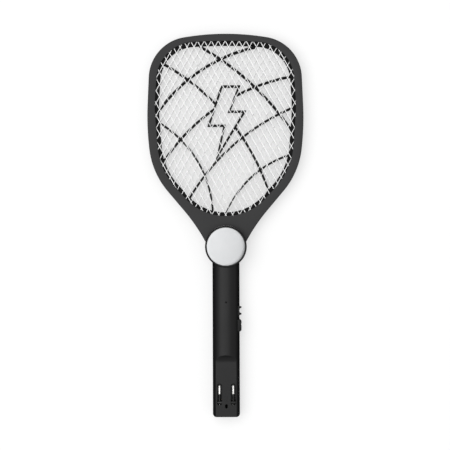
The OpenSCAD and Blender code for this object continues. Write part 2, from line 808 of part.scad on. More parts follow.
module board_screws() from_butt() color("silver") at_each(board_screw_spots) translate([0, 0, main_top])
    mirror([0, 0, 1]) screw(board_screw_r, 6, 1.9, 1.4);

transformer_y = 188;
core_foot_h = 2.2;
bobbin_h = 11;

// Ferrite core: bottom and top yokes, a round middle leg and two outer legs.
module transformer_core() from_butt() color("#3a3a3c") translate([0, transformer_y, main_top]) {
    for (z = [0, core_foot_h + bobbin_h + 0.2]) box([-9.5, -3.5, z], [9.5, 3.5, z + core_foot_h]);
    translate([0, 0, core_foot_h - eps]) cylinder(r = 2.6, h = bobbin_h + 0.2 + 2 * eps);
    both_x() box([7.5, -3.5, core_foot_h - eps], [9.5, 3.5, core_foot_h + bobbin_h + 0.2 + eps]);
}

module transformer_bobbin() from_butt() color("#1f1f1f")
    translate([0, transformer_y, main_top + core_foot_h + 0.1]) difference() {
        union() {
            cylinder(r = 3.6, h = bobbin_h);
            for (z = [0, bobbin_h - 1]) box([-7.2, -7, z], [7.2, 7, z + 1]);
        }
        translate([0, 0, -1]) cylinder(r = 2.7, h = far);
    }

module transformer_winding() from_butt() color("#b87333")
    translate([0, transformer_y, main_top + core_foot_h + 1.2]) difference() {
        cylinder(r = 6.6, h = bobbin_h - 2.2);
        translate([0, 0, -1]) cylinder(r = 3.7, h = far);
    }

module storage_capacitor() from_butt() color("#9c3b2a")
    standing_block([-3, 172, main_top], [16, 9, 12]);

module multiplier_diodes() from_butt() color("#202020") for (y = [143, 147, 151])
    translate([axial_row_x, y, main_top]) axial_part(diode_r, diode_l, 10, diode_lift);

module multiplier_capacitors() from_butt() color("#2f62a5") for (y = [127.5, 136])
    translate([-6, y, main_top]) cylinder(r = 3.8, h = 8);

// A flat package on three legs.
module drive_transistor() from_butt() color("#181818") translate([10.5, 162, main_top]) {
    leg_h = 3;
    leg_pitch = 2.3;
    standing_block([0, 0, leg_h], [7, 3, 10]);
    for (x = [-leg_pitch, 0, leg_pitch]) standing_block([x, 0, 0], [0.8, 0.8, leg_h + eps]);
}

module board_resistors() from_butt() color("#d8c39a") for (y = [155.5, 159, 162.5])
    translate([axial_row_x, y, main_top]) axial_part(resistor_r, resistor_l, 10, resistor_lift);

module power_led() from_butt() color("#b3261e") translate([0, power_light_y, main_top]) led(13, 18.6);

module power_light_pipe() from_butt() color("#202020")
    translate([0, power_light_y, handle_t - shell_wall - 0.3]) cylinder(r = 0.97, h = shell_wall + 0.1);

// ---------------------------------------------------------------- leads

module grid_leads() from_butt() {
    lead_r = 0.7;
    pad_z = main_top + lead_r;
    front_z = head_mid_z + net_h - lead_r;
    rear_z = head_mid_z - net_h + lead_r;
    color("firebrick") wire([[-tab_x, 268.6, front_z], [-tab_x, 262, 13], [-6.5, 240, 12],
                             [-6.5, 210, 11], [-6.5, 199, pad_z]], lead_r);
    color("dimgray") wire([[0, 268.6, head_mid_z + grid_t / 2 + lead_r], [0, 265, 12], [0, 258, 9],
                           [0, 222, 9], [5, 212, 10], [3.5, 199, pad_z]], lead_r);
    color("firebrick") wire([[tab_x, 268.6, rear_z], [tab_x, 262, 9], [7.5, 240, 11],
                             [7.5, 210, 11], [7, 199, pad_z]], lead_r);
}

module battery_leads() from_butt() for (side = [-1, 1])
    color(side > 0 ? "firebrick" : "#222222")
        wire([[side * 8, cell_y0 + cell_l + 1.1, 14], [side * 8, cell_y0 + cell_l + 3, 11],
              [side * 7, main_board_y0 + 0.9, main_top + 0.8]], 0.7);

module charge_leads() from_butt() for (side = [-1, 1])
    color(side > 0 ? "firebrick" : "#222222")
        wire([[side * 7.5, 51, charger_top + 0.8], [side * 8.5, 55, charger_top + 0.8],
              [side * charge_lead_x, 58.5, charge_lead_z], [side * charge_lead_x, 108, charge_lead_z],
              [side * 10.5, 117, charge_lead_z],
              [side * 10.5, main_board_y0 + 0.8, main_board_z - 0.8]], 0.7);

front_frame();
rear_frame();
front_net();
rear_net();
charged_grid();
front_guard();
rear_guard();
frame_screws();
front_handle_shell();
rear_handle_shell();
handle_screws();
badge_bezel();
badge_disc();
power_slide_knob();
power_switch_peg();
power_switch_body();
zap_button_cap();
zap_switch_plunger();
zap_switch_body();
plug_carrier();
plug_pins();
pin_sleeves();
plug_contacts();
plug_detent_spring();
charger_board();
dropper_capacitor();
charger_diodes();
charger_resistor();
charge_light_window();
charge_led();
cells();
cell_tabs();
main_board();
board_screws();
transformer_core();
transformer_bobbin();
transformer_winding();
storage_capacitor();
multiplier_diodes();
multiplier_capacitors();
drive_transistor();
board_resistors();
power_led();
power_light_pipe();
grid_leads();
battery_leads();
charge_leads();
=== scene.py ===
"""The looks of a rechargeable electric fly swatter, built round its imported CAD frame.

Solids are made in millimetres in the part's own design frame: X across the racket, Y from the
butt end, Z from the back. as_piece() turns a finished solid into metres in the shared frame.
"""

import json
import math

import bmesh
import bpy
import numpy as np
from mathutils import Matrix, Vector


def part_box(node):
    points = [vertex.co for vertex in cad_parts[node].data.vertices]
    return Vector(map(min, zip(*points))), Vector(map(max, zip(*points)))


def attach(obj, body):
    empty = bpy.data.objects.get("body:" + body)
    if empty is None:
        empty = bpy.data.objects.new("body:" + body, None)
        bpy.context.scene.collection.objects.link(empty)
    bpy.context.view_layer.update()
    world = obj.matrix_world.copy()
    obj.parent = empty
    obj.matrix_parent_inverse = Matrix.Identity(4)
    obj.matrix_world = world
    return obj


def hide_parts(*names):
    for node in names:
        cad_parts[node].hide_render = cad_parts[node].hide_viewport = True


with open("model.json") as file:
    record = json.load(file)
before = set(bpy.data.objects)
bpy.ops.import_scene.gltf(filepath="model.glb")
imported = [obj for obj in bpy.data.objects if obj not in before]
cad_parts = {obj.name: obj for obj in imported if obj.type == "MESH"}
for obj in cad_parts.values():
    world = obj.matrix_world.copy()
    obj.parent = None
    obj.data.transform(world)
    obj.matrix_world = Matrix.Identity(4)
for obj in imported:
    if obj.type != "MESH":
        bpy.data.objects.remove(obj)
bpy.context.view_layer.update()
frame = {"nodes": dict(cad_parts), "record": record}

MM = 0.001
BUTT_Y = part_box("front_handle_shell")[0].y


def box_mm(node):
    """Lowest and highest corner of a CAD node in millimetres, with Y from the butt end."""
    return [Vector((c.x, c.y - BUTT_Y, c.z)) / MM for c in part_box(node)]


# ---------------------------------------------------------------- sizes, in millimetres

RACKET_L = 530
HEAD_HALF_W = 108
HEAD_MID = box_mm("front_frame")[1].z / 2
NECK_HALF_W = 27
LIP_T = 2                          # lip of the frame over a net
SHEET_MARGIN = 5                   # seat of the nets, past the lip's opening
RING_REACH = 5                     # the guards' ring shows this wide inside the opening
NET_BORDER, GRID_BORDER = 4.7, 4 - RING_REACH    # outer edges of the sheets, past the opening
GUARD_H = box_mm("front_guard")[1].z - HEAD_MID
RIB_W, RIB_DEPTH = 2.6, 3.2
DIAMOND_A, DIAMOND_B = 4.8, 8.6    # half the width and half the height of a net's diamond
STRAND_W = 0.9
SEAM = 0.22                        # chamfer along a parting line

HANDLE_HALF_W = 18.7
HANDLE_T = 31
PART_Z = box_mm("front_handle_shell")[0].z
BACK_BULGE = 2                     # how far down the back would reach if it weren't cut flat
FLAT_BACK_Z = 0.01                 # keeps the flat back out of the plane of the hub's underside
SECTION_POWER = 2.3                # 2 would give an ellipse, and more is squarer
BUTT_CUT = 2.6                     # bevel of the butt's corners
SHELL_WALL = 2.2
PLUG_FLAT_Z, PLUG_FLAT_L = 26.5, 75
SCOOP_R = 14                       # curve up from the plug area to the handle's crown
HUB_Y, HUB_R, HUB_T = 235.5, 28.7, 31.5
HUB_CLEAR_R = HUB_R + 0.1
BADGE_R = 26.5
BADGE_TOP = box_mm("badge_disc")[1].z

HANDLE_SCREWS = [(-11, 6.5), (11, 6.5), (0, 113.8), (0, 206), (-12, 226), (12, 226)]
FRAME_SCREWS = [(-26, 272), (26, 272)]
HANDLE_SEAT_Z, FRAME_SEAT_Z = 9, 3    # height of the step that a screw's head rests on
HEAD_HOLE_R = 2.6
PILOT_R = 1.35
FRONT_BOSS_R, REAR_BOSS_R = 3, 3.4

HINGE_Y, HINGE_Z = 19.5, 21.2
JOURNAL_R, JOURNAL_END = 2, 15
PIN_X, PIN_R = 9.5, 2
SLOT_W, SLOT_Y0, SLOT_Y1 = 6.5, 16.4, 46.2
POCKET_Y0, POCKET_Z = 23.2, 17.3
WINDOW_W, WINDOW_Y0, WINDOW_Y1 = 3.2, 12.2, 17.8
CUT_LOW = 22                       # slots in the plug area are cut down to here
POWER_LIGHT_Y = 158.7


# ---------------------------------------------------------------- outlines

def rounded(corners, steps=24, closed=True):
    """A polyline with each corner (x, y, radius) rounded by an arc; open ends stay as they are."""
    tips = [np.array(c[:2], float) for c in corners]
    count = len(corners)
    points = []
    for i, (tip, corner) in enumerate(zip(tips, corners)):
        radius = corner[2] if len(corner) > 2 else 0
        if radius == 0 or (not closed and i in (0, count - 1)):
            points.append(tip)
            continue
        back = tips[i - 1] - tip
        ahead = tips[(i + 1) % count] - tip
        back /= np.linalg.norm(back)
        ahead /= np.linalg.norm(ahead)
        half = math.acos(np.clip(back @ ahead, -1, 1)) / 2
        middle = (back + ahead) / np.linalg.norm(back + ahead)
        centre = tip + middle * radius / math.sin(half)
        first = tip + back * radius / math.tan(half) - centre
        start = math.atan2(first[1], first[0])
        side = -1 if back[0] * ahead[1] - back[1] * ahead[0] > 0 else 1
        arc = max(2, math.ceil(steps * (math.pi - 2 * half) / (math.pi / 2)))
        for k in range(arc + 1):
            a = start + side * (math.pi - 2 * half) * k / arc
            points.append(centre + radius * np.array([math.cos(a), math.sin(a)]))
    return np.array(points)


def both_sides(half):
    """The right half of an outline, top to bottom, together with its mirror image."""
    return half + [(-x, y, r) for x, y, r in reversed(half) if x > 0]


def grown(outline, distance):
    """A closed outline moved outwards by a distance, with mitred corners."""
    after = np.roll(outline, -1, axis=0)
    area = np.sum(outline[:, 0] * after[:, 1] - after[:, 0] * outline[:, 1])
    edges = after - outline
    normals = np.stack([edges[:, 1], -edges[:, 0]], axis=1) * np.sign(area)
    normals /= np.linalg.norm(normals, axis=1)[:, None]
    before = np.roll(normals, 1, axis=0)
    spread = 1 + np.sum(before * normals, axis=1)
    return outline + distance * (before + normals) / spread[:, None]


def spread_out(outline, spacing):
    """Extra points on the long edges of a closed outline."""
    points = []
    for a, b in zip(outline, np.roll(outline, -1, axis=0)):
        count = max(1, round(np.linalg.norm(b - a) / spacing))
        points += [a + (b - a) * k / count for k in range(count)]
    return np.array(points)


def inside(point, polygon):
    """Does a point lie in a closed polygon?"""
    x, y = point
    result = False
    for (x0, y0), (x1, y1) in zip(polygon, np.roll(polygon, -1, axis=0)):
        if (y0 > y) != (y1 > y) and x < x0 + (x1 - x0) * (y - y0) / (y1 - y0):
            result = not result
    return result


HEAD = rounded(both_sides([
    (0, RACKET_L + 4.09, 340),
    (HEAD_HALF_W - 4.2, RACKET_L - 12, 58),
    (HEAD_HALF_W + 1, 403, 390),
    (HEAD_HALF_W - 6.1, 338, 110),
    (NECK_HALF_W + 14.3, 266, 250),
    (NECK_HALF_W, 240, 0),
]), 60)
OPENING = rounded(both_sides([
    (0, RACKET_L - 8.4, 700),
    (HEAD_HALF_W - 15.6, RACKET_L - 14.3, 54),
    (HEAD_HALF_W - 10, 428.5, 194),
    (HEAD_HALF_W - 16.5, 342, 96),
    (0, 241.5, 75),
]), 60)
HEAD_CENTRE = np.array([0, 400])


def polar(outline):
    """Angles and distances of an outline's points from the head's centre, by rising angle."""
    offset = outline - HEAD_CENTRE
    angles = np.arctan2(offset[:, 1], offset[:, 0])
    order = np.argsort(angles)
    return angles[order], np.linalg.norm(offset, axis=1)[order]


def reach(outline, angles):
    """Distance from the head's centre to an outline along each angle."""
    known, distances = polar(spread_out(outline, 0.5))
    return np.interp(angles, known, distances, period=2 * math.pi)


def hub_reach(angles):
    """Distance from the head's centre to the hub's clearance circle, or infinity past its sides."""
    to_hub = HEAD_CENTRE[1] - HUB_Y
    sideways = to_hub * np.cos(angles)
    chord = HUB_CLEAR_R ** 2 - sideways ** 2
    hit = to_hub * -np.sin(angles) - np.sqrt(np.maximum(chord, 0))
    return np.where((chord > 0) & (np.sin(angles) < 0), hit, np.inf)


def head_angles():
    """Directions in which the head's rings have their points: even steps along the frame's edge."""
    angles, _ = polar(spread_out(HEAD, 1.6))
    fine = np.linspace(-math.pi / 2, 0, 20000)
    meets_hub = fine[hub_reach(fine) < reach(HEAD, fine)].max()
    neck = np.linspace(-math.pi - meets_hub, meets_hub, 40)
    return np.unique(np.concatenate([angles[(angles < neck[0]) | (angles > neck[-1])], neck]))


ANGLES = head_angles()


def ring_at(distances, z):
    """A ring of points at given distances from the head's centre."""
    return np.stack([HEAD_CENTRE[0] + distances * np.cos(ANGLES),
                     HEAD_CENTRE[1] + distances * np.sin(ANGLES),
                     np.full(len(ANGLES), z)], axis=1)


def head_ring(inset, z):
    """The frame's outer edge, cut off at the hub."""
    return ring_at(np.minimum(reach(grown(HEAD, -inset), ANGLES), hub_reach(ANGLES)), z)


def opening_ring(grow, z):
    """The edge of the lip's opening, moved outwards."""
    return ring_at(reach(grown(OPENING, grow), ANGLES), z)


# ---------------------------------------------------------------- meshes

def loft(rings, wrap=False):
    """Faces between rings of equally many points; the ends are capped unless the rings wrap."""
    count = len(rings[0])
    last = len(rings) if wrap else len(rings) - 1
    faces = []
    for i in range(last):
        a, b = i * count, (i + 1) % len(rings) * count
        faces += [(a + j, a + (j + 1) % count, b + (j + 1) % count, b + j) for j in range(count)]
    if not wrap:
        faces.append(tuple(range(count)))
        faces.append(tuple(range(len(rings) * count - 1, (len(rings) - 1) * count - 1, -1)))
    return np.concatenate(rings), faces


def turned(axis, radius, along, steps):
    """A ring of points round an axis, at a distance along it."""
    a = np.linspace(0, 2 * math.pi, steps, endpoint=False)
    u, v, w = radius * np.cos(a), radius * np.sin(a), np.full(steps, along)
    return np.stack({"X": (w, u, v), "Y": (u, w, v), "Z": (u, v, w)}[axis], axis=1)


def lathe(profile, axis="Z", at=(0, 0, 0), steps=96, wrap=False):
    """A profile of (radius, distance along the axis) turned round an axis through a point."""
    return loft([turned(axis, r, h, steps) + np.array(at, float) for r, h in profile], wrap)


def disc_profile(radius, low, high, low_round=0, high_round=0):
    """Profile of a plain disc with rounded rims, from the axis out and back."""
    return rounded([(0, low), (radius, low, low_round), (radius, high, high_round), (0, high)], 6,
                   closed=False)


def edge_steps(z_from, z_to, radius, steps=4):
    """(inset, z) pairs that round the edge where a wall going to z_to meets the face there."""
    side = 1 if z_to > z_from else -1
    turns = [math.pi / 2 * k / steps for k in range(steps + 1)]
    return [(radius * (1 - math.cos(a)), z_to - side * radius * (1 - math.sin(a))) for a in turns]


def prism(outline, low, high, low_round=0.0, high_round=0.0):
    """An outline run up along Z, with rounded edges at its two ends."""
    levels = [(0, low)] if low_round == 0 else edge_steps(high, low, low_round)[::-1]
    levels += [(0, high)] if high_round == 0 else edge_steps(low, high, high_round)
    return loft(raised(outline, levels))


def raised(outline, levels):
    """For each (inset, z), a ring: the outline moved inwards by the inset and up to z."""
    return [np.column_stack([grown(outline, -inset) if inset else outline, np.full(len(outline), z)])
            for inset, z in levels]


def box(low, high):
    """A plain box between two corners, used as a cutter or as a hidden wall."""
    (x0, y0, z0), (x1, y1, z1) = low, high
    return prism(np.array([(x0, y0), (x1, y0), (x1, y1), (x0, y1)], float), z0, z1)


def slot_outline(width, y0, y1, x=0):
    """A slot with round ends along Y."""
    r = width / 2
    return rounded([(x - r, y0, r * 0.999), (x + r, y0, r * 0.999),
                    (x + r, y1, r * 0.999), (x - r, y1, r * 0.999)], 12)


def solid(name, *shapes):
    """One object, in millimetres, from one or more closed shells."""
    mesh = bpy.data.meshes.new(name)
    points, faces = [], []
    for shell_points, shell_faces in shapes:
        start = len(points)
        points += [tuple(p) for p in shell_points]
        faces += [tuple(start + i for i in f) for f in shell_faces]
    mesh.from_pydata(points, [], faces)
    work = bmesh.new()
    work.from_mesh(mesh)
    bmesh.ops.remove_doubles(work, verts=work.verts, dist=1e-5)
    bmesh.ops.recalc_face_normals(work, faces=work.faces)
    work.to_mesh(mesh)
    work.free()
    obj = bpy.data.objects.new(name, mesh)
    bpy.context.collection.objects.link(obj)
    return obj


def cutter(shape):
    """A solid that is used up in a boolean step."""
    return solid("cutter", shape)


def combine(obj, operation, *others):
    """Adds, cuts or intersects solids one after another, exactly, and removes the others."""
    for other in others:
        modifier = obj.modifiers.new(operation, "BOOLEAN")
        modifier.operation = operation
        modifier.solver = "EXACT"
        modifier.object = other
    graph = bpy.context.evaluated_depsgraph_get()
    mesh = bpy.data.meshes.new_from_object(obj.evaluated_get(graph))
    obj.modifiers.clear()
    obj.data = mesh
    for other in others:
        bpy.data.objects.remove(other)
    return obj


def as_piece(obj, nodes, slot, body="root", smooth=35):
    """Moves a finished solid into the shared frame, where it stands for CAD nodes of a body."""
    obj.data.transform(Matrix.Translation((0, BUTT_Y, 0)) @ Matrix.Scale(MM, 4))
    obj.data.materials.clear()
    obj.data.materials.append(MATERIALS[slot])
    obj.data.shade_smooth()
    obj.data.set_sharp_from_angle(angle=math.radians(smooth))
    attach(obj, body)
    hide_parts(*nodes)


# ---------------------------------------------------------------- materials

class Nodes:
    """A node material under construction round one Principled shader."""

    def __init__(self, name, colour, roughness, **constants):
        self.material = bpy.data.materials.new(name)
        self.material.use_nodes = True
        self.tree = self.material.node_tree
        self.shader = self.tree.nodes["Principled BSDF"]
        self.colour, self.normal = colour, None
        self.shader.inputs["Base Color"].default_value = (*colour, 1)
        self.shader.inputs["Roughness"].default_value = roughness
        for key, value in constants.items():
            self.shader.inputs[key.replace("_", " ")].default_value = value
        self.place = self.tree.nodes.new("ShaderNodeTexCoord").outputs["Object"]

    def add(self, kind, inputs=(), **settings):
        """A node with its settings, and its inputs given as values or as other nodes' outputs."""
        node = self.tree.nodes.new("ShaderNode" + kind)
        for key, value in settings.items():
            setattr(node, key, value)
        for key, value in dict(inputs).items():
            if isinstance(value, bpy.types.NodeSocket):
                self.tree.links.new(value, node.inputs[key])
            else:
                node.inputs[key].default_value = value
        return node

    def noise(self, size_mm, detail=2, stretch=(1, 1, 1)):
        """Noise with features of about that size; a stretch below 1 draws them out along an axis."""
        scaled = self.add("Mapping", {"Vector": self.place, "Scale": stretch})
        return self.add("TexNoise", {"Vector": scaled.outputs[0], "Scale": 1 / (size_mm * MM),
                                     "Detail": detail}).outputs["Fac"]

    def band(self, value, low, high, to_low=0.0, to_high=1.0):
        """A value moved from one range to another, and held there."""
        node = self.add("MapRange", {"Value": value, "From Min": low, "From Max": high,
                                     "To Min": to_low, "To Max": to_high})
        return node.outputs["Result"]

    def math(self, operation, a, b):
        """Arithmetic on two values or outputs."""
        return self.add("Math", {0: a, 1: b}, operation=operation).outputs[0]

    def edges(self, radius_mm):
        """1 where the surface turns within a short distance, 0 on the flat."""
        soft = self.add("Bevel", {"Radius": radius_mm * MM}, samples=4).outputs["Normal"]
        true = self.add("NewGeometry").outputs["Normal"]
        same = self.add("VectorMath", {0: soft, 1: true}, operation="DOT_PRODUCT").outputs["Value"]
        return self.band(same, 1.0, 0.93)

    def mix_colour(self, fac, other):
        """Blends another colour in where fac is 1."""
        base = self.shader.inputs["Base Color"]
        start = base.links[0].from_socket if base.links else (*self.colour, 1)
        node = self.add("Mix", {"Factor": fac}, data_type="RGBA")
        # The colour sockets come after the float and vector ones that share their names.
        for key, value in (("A", start), ("B", (*other, 1))):
            socket = [s for s in node.inputs if s.name == key and s.type == "RGBA"][0]
            if isinstance(value, tuple):
                socket.default_value = value
            else:
                self.tree.links.new(value, socket)
        result = [s for s in node.outputs if s.type == "RGBA"][0]
        self.tree.links.new(result, base)

    def vary_roughness(self, fac, low, high):
        """Lets the roughness run between two values as fac runs from 0 to 1."""
        self.tree.links.new(self.band(fac, 0, 1, low, high), self.shader.inputs["Roughness"])

    def bump(self, height, depth_mm):
        """A relief of that depth over the reliefs added before."""
        node = self.add("Bump", {"Height": height, "Distance": depth_mm * MM, "Strength": 1})
        if self.normal is not None:
            self.tree.links.new(self.normal, node.inputs["Normal"])
        self.normal = node.outputs["Normal"]
        self.tree.links.new(self.normal, self.shader.inputs["Normal"])


def shade(colour, factor):
    """A colour made lighter or darker by a factor."""
    return tuple(min(1, c * factor) for c in colour)


def moulded(name, colour, roughness, grain_mm=0.5, grain_depth=0.02, wear_and_highlight=1.8, **constants):
    """Moulded plastic: fine spark-eroded grain, faint mottling, and edges painted lighter, partly as
    wear from handling and partly as a painted highlight.
    """
    m = Nodes(name, colour, roughness, **constants)
    grain = m.noise(grain_mm, 3)
    mottle = m.noise(22, 3)
    m.mix_colour(m.band(mottle, 0.35, 0.7, 0, 0.5), shade(colour, 1.16))
    # Edges painted lighter: partly wear from handling, partly a painted highlight where the surface
    # turns.
    m.mix_colour(m.math("MULTIPLY", m.edges(0.35), 0.55), shade(colour, wear_and_highlight))
    m.vary_roughness(m.math("ADD", m.math("MULTIPLY", grain, 0.5), m.math("MULTIPLY", mottle, 0.5)),
                     roughness - 0.09, roughness + 0.09)
    m.bump(grain, grain_depth)
    return m.material


def sheet_metal(name, colour, roughness, streak=(1, 1, 1), streak_mm=0.3, metallic=1):
    """Bright sheet metal: drawn streaks and dull patches."""
    m = Nodes(name, colour, roughness, Metallic=metallic)
    streaks = m.noise(streak_mm, 3, streak)
    patches = m.noise(9, 2)
    m.mix_colour(m.band(patches, 0.4, 0.75, 0, 0.45), shade(colour, 0.84))
    m.vary_roughness(streaks, roughness - 0.1, roughness + 0.12)
    m.bump(streaks, 0.008)
    return m.material


def spun_metal(name, colour, roughness):
    """A disc faced on a lathe: fine rings round its centre that spread the light along radii."""
    m = Nodes(name, colour, roughness, Metallic=1, Anisotropic=0.75)
    low, high = box_mm("badge_disc")
    centre = Vector(((low.x + high.x) / 2, (low.y + high.y) / 2 + BUTT_Y / MM, 0)) * MM
    offset = m.add("VectorMath", {0: m.place, 1: centre}, operation="SUBTRACT").outputs[0]
    flat = m.add("VectorMath", {0: offset, 1: (1, 1, 0)}, operation="MULTIPLY").outputs[0]
    radius = m.add("VectorMath", {0: flat}, operation="LENGTH").outputs["Value"]
    rings = m.add("TexNoise", {"W": radius, "Scale": 1 / (0.16 * MM), "Detail": 3},
                  noise_dimensions="1D").outputs["Fac"]
    m.mix_colour(m.band(rings, 0.35, 0.7, 0, 0.5), shade(colour, 0.88))
    m.mix_colour(m.band(m.noise(14, 2), 0.45, 0.7, 0, 0.3), shade(colour, 0.9))
    m.vary_roughness(rings, roughness - 0.06, roughness + 0.1)
    m.bump(rings, 0.004)
    tangent = m.add("Tangent", direction_type="RADIAL", axis="Z").outputs[0]
    m.tree.links.new(tangent, m.shader.inputs["Tangent"])
    return m.material


def laminate(name, colour):
    """Paper laminate board: long pressed fibres under a clear resin."""
    m = Nodes(name, colour, 0.45)
    fibres = m.noise(0.8, 4, (1, 0.15, 1))
    m.mix_colour(m.band(fibres, 0.4, 0.65), shade(colour, 0.6))
    m.vary_roughness(fibres, 0.35, 0.6)
    m.bump(fibres, 0.01)
    return m.material


def wound_wire(name, colour):
    """Many turns of enamelled wire, side by side round a bobbin."""
    m = Nodes(name, colour, 0.3, Metallic=1)
    turns = m.add("TexWave", {"Vector": m.place, "Scale": 1 / (0.9 * MM), "Distortion": 0.3},
                  bands_direction="Z").outputs["Fac"]
    m.mix_colour(turns, shade(colour, 1.7))
    m.vary_roughness(m.noise(1.5), 0.2, 0.45)
    m.bump(turns, 0.1)
    return m.material


def dipped(name, colour, roughness=0.3, **constants):
    """A coated or shrink-wrapped part: an uneven gloss skin, with a painted highlight along its edges.
    """
    m = Nodes(name, colour, roughness, **constants)
    waves = m.noise(3.5, 3)
    m.mix_colour(m.band(waves, 0.4, 0.7, 0, 0.7), shade(colour, 0.72))
    # Edges painted lighter: a painted highlight along the rounded edges.
    m.mix_colour(m.math("MULTIPLY", m.edges(0.3), 0.5), shade(colour, 1.5))
    m.vary_roughness(waves, roughness - 0.08, roughness + 0.14)
    m.bump(waves, 0.05)
    return m.material


# Moulded plastics are given by colour, roughness, and the size and depth of their grain in mm,
# sheet metals by colour, roughness and how their streaks are drawn out along each axis.
# The pins are partly metallic: as plain metal they would mirror only the black horizon when upright.
MATERIALS = {
    "frame_plastic": moulded("frame_plastic", (0.02, 0.02, 0.0204), 0.55, 0.45, 0.02,
                             Specular_IOR_Level=0.12),
    "guard_plastic": moulded("guard_plastic", (0.003, 0.003, 0.003), 0.6, 0.6, 0.02,
                             Specular_IOR_Level=0.06),
    "shell_plastic": moulded("shell_plastic", (0.004, 0.004, 0.0042), 0.42, 0.4, 0.015,
                             Specular_IOR_Level=0.156),
    "control_plastic": moulded("control_plastic", (0.004, 0.004, 0.0042), 0.4, 0.35, 0.012,
                               Specular_IOR_Level=0.1),
    "bezel_plastic": moulded("bezel_plastic", (0.004, 0.004, 0.004), 0.25, 0.8, 0.004,
                             Specular_IOR_Level=0.12),
    "insulator_plastic": moulded("insulator_plastic", (0.006, 0.006, 0.006), 0.35, 0.5, 0.008,
                                 Specular_IOR_Level=0.2),
    "switch_plastic": moulded("switch_plastic", (0.6, 0.58, 0.52), 0.45, 0.5, 0.01, 1.1),
    "net_metal": sheet_metal("net_metal", (0.54, 0.54, 0.54), 0.6, (1, 0.2, 1)),
    "grid_metal": sheet_metal("grid_metal", (0.54, 0.54, 0.54), 0.6, (1, 0.2, 1)),
    "badge_metal": spun_metal("badge_metal", (0.238, 0.241, 0.244), 0.3),
    "pin_metal": sheet_metal("pin_metal", (0.56, 0.555, 0.54), 0.3, (1, 0.05, 1), 0.2,
                             metallic=0.7),
    "screw_steel": sheet_metal("screw_steel", (0.62, 0.62, 0.64), 0.34, streak_mm=0.4),
    "spring_steel": sheet_metal("spring_steel", (0.66, 0.66, 0.66), 0.3, (0.1, 1, 1)),
    "contact_brass": sheet_metal("contact_brass", (0.68, 0.5, 0.2), 0.34, (0.1, 1, 1)),
    "board_laminate": laminate("board_laminate", (0.2, 0.12, 0.04)),
    "ferrite": moulded("ferrite", (0.05, 0.05, 0.055), 0.7, 0.25, 0.03),
    "copper_winding": wound_wire("copper_winding", (0.5, 0.2, 0.07)),
    "component_dark": dipped("component_dark", (0.015, 0.015, 0.015)),
    "component_red": dipped("component_red", (0.3, 0.06, 0.035)),
    "component_blue": dipped("component_blue", (0.04, 0.13, 0.36)),
    "resistor_body": dipped("resistor_body", (0.62, 0.5, 0.32), 0.5),
    "cell_wrap": dipped("cell_wrap", (0.03, 0.15, 0.08), 0.28),
    "led_red": dipped("led_red", (0.55, 0.03, 0.02), 0.12),
    "window_dark": dipped("window_dark", (0.0005, 0.0005, 0.0005), 0.2, Specular_IOR_Level=0),
    "wire_insulation": dipped("wire_insulation", (0.25, 0.02, 0.02), 0.5),
}


# ---------------------------------------------------------------- head

def frame_solid(name, side):
    """Half of the head frame: rounded outer edge, flat plate, lip over the net and seat behind it."""
    rim_round, lip_round = 1.1, 0.4
    top = HEAD_MID
    seat = SHEET_MARGIN + 0.1
    rings = [head_ring(SEAM, 0), head_ring(0, SEAM)]
    rings += [head_ring(inset, h) for inset, h in edge_steps(0, top, rim_round, 5)]
    rings += [opening_ring(inset, h) for inset, h in edge_steps(0, top, lip_round, 3)[::-1]]
    rings += [opening_ring(0, top - LIP_T), opening_ring(seat, top - LIP_T), opening_ring(seat, 0)]
    return solid(name, flipped(loft(rings, wrap=True), side))


def flipped(shape, side):
    """A shape made from the head's mid-plane outwards, put on the front (1) or the rear (-1)."""
    points, faces = shape
    return points * [1, 1, side] + [0, 0, HEAD_MID], faces


def screw_hole(x, y, seat_z, shank_r, top):
    """Cutter for a counterbore from the back, with a small chamfer at its mouth."""
    flare = 0.3
    profile = [(0, -1), (HEAD_HOLE_R + flare + 1, -1), (HEAD_HOLE_R, flare), (HEAD_HOLE_R, seat_z),
               (shank_r, seat_z), (shank_r, top), (0, top)]
    return cutter(lathe(profile, at=(x, y, 0), steps=48))


def front_frame():
    """Front half of the head frame."""
    obj = frame_solid("head_frame_front", 1)
    as_piece(obj, ["front_frame"], "frame_plastic")


def rear_frame():
    """Rear half of the head frame, with its screw holes."""
    obj = frame_solid("head_frame_rear", -1)
    shank_hole_r, hole_top = 1.15, 10.5
    combine(obj, "DIFFERENCE", *[screw_hole(x, y, FRAME_SEAT_Z, shank_hole_r, hole_top)
                                 for x, y in FRAME_SCREWS])
    as_piece(obj, ["rear_frame"], "frame_plastic")


def strand(start, end, width, thickness, twist):
    """A strip of expanded metal between two bonds, turned on edge a little between them."""
    along = end - start
    along = along / np.linalg.norm(along)
    across = np.array([-along[1], along[0], 0]) * (1 if along[0] > 0 else -1)
    up = np.array([0, 0, 1])
    rings = []
    for s in (0, 0.18, 0.5, 0.82, 1):
        tilt = twist * math.sin(math.pi * s)
        wide = (across * math.cos(tilt) + up * math.sin(tilt)) * width / 2
        thick = (up * math.cos(tilt) - across * math.sin(tilt)) * thickness / 2
        middle = start + (end - start) * s
        rings.append(np.array([middle + wide + thick, middle - wide + thick,
                               middle - wide - thick, middle + wide - thick]))
    return loft(rings)


